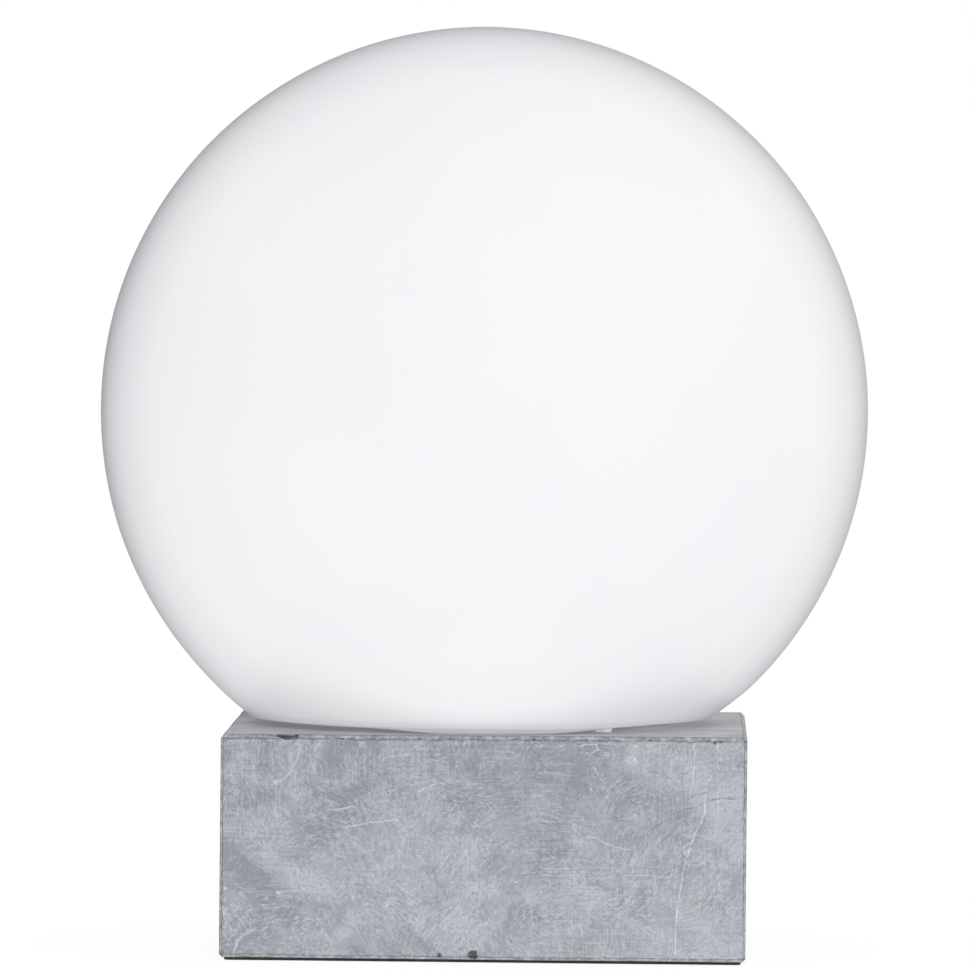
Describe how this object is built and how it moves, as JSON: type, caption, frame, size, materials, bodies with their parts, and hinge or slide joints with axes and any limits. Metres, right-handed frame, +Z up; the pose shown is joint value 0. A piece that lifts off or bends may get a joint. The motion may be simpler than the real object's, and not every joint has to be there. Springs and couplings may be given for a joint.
{
  "type": "stone block globe lamp",
  "caption": "Closed opal glass globe resting loose on a square natural-stone block, with a screw lamp holder and bulb inside, and a mains cord with in-line switch and plug behind it.",
  "frame": {"origin": "middle of the base pad's underside, on the floor under the centre of the stone block and globe", "axes": "+Z up through the globe, -Y is the front face of the block, +Y is the back where the cord leaves"},
  "size_m": [0.2979, 0.4883, 0.3564],
  "materials": {
    "stone": "matte",
    "pad": "matte",
    "opal_glass": "satin",
    "clear_bumper": "gloss",
    "zinc_steel": "satin",
    "enamelled_steel": "satin",
    "brass": "satin",
    "nickel": "polished",
    "porcelain": "satin",
    "holder_plastic": "satin",
    "cord_plastic": "satin",
    "brown_core": "satin",
    "blue_core": "satin",
    "nylon": "matte",
    "bulb_plastic": "satin",
    "bulb_diffuser": "satin",
    "black_glass": "gloss",
    "circuit_board": "satin",
    "aluminium_board": "satin"
  },
  "bodies": {
    "base": {"stone_block": "stone", "base_pad": "pad", "globe_locating_dish": "enamelled_steel", "mounting_tube": "zinc_steel", "tube_washer": "zinc_steel", "tube_nut": "zinc_steel", "holder_base": "holder_plastic", "holder_lock_screw": "zinc_steel", "holder_insert": "porcelain", "holder_shell": "holder_plastic", "thread_sleeve": "brass", "centre_contact": "brass", "side_contact": "brass", "terminal_screw_live": "brass", "terminal_screw_neutral": "brass", "wire_live": "brown_core", "wire_neutral": "blue_core", "cable_grommet": "cord_plastic", "cord_clamp": "nylon", "clamp_screw_left": "zinc_steel", "clamp_screw_right": "zinc_steel", "clamp_plug_left": "nylon", "clamp_plug_right": "nylon", "cable_lamp_side": "cord_plastic", "cable_plug_side": "cord_plastic", "switch_lower_case": "cord_plastic", "switch_upper_case": "cord_plastic", "switch_terminal_in": "brass", "switch_terminal_out": "brass", "switch_neutral_link": "brass", "switch_case_screw_left": "zinc_steel", "switch_case_screw_right": "zinc_steel", "plug_body": "cord_plastic", "plug_pin_left": "nickel", "plug_pin_right": "nickel"},
    "globe": {"globe_glass": "opal_glass", "bumper_1": "clear_bumper", "bumper_2": "clear_bumper", "bumper_3": "clear_bumper"},
    "bulb_tip": {"bulb_tip_contact": "nickel"},
    "bulb": {"bulb_insulator": "black_glass", "bulb_cap": "nickel", "bulb_housing": "bulb_plastic", "bulb_diffuser": "bulb_diffuser", "bulb_led_board": "aluminium_board", "bulb_driver_board": "circuit_board"},
    "rocker": {"switch_rocker": "bulb_plastic", "switch_contact_bridge": "brass"}
  },
  "joints": [
    {"name": "globe_lift", "type": "slide", "parent": "base", "child": "globe", "axis": [0, 0, 1], "range_m": [0, 0.18]},
    {"name": "bulb_rise", "type": "slide", "parent": "base", "child": "bulb_tip", "axis": [0, 0, 1], "range_m": [0, 0.0109]},
    {"name": "bulb_turn", "type": "hinge", "parent": "bulb_tip", "child": "bulb", "pos_m": [0, 0, 0.1193], "axis": [0, 0, 1], "range_deg": [0, 1080]},
    {"name": "switch_press", "type": "hinge", "parent": "base", "child": "rocker", "pos_m": [-0.002, 0.16, 0.012], "axis": [0, 1, 0], "range_deg": [0, 14]}
  ],
  "couplings": [
    {"joint": "bulb_rise", "follows": "bulb_turn", "m_per_rad": 0.00057757}
  ]
}
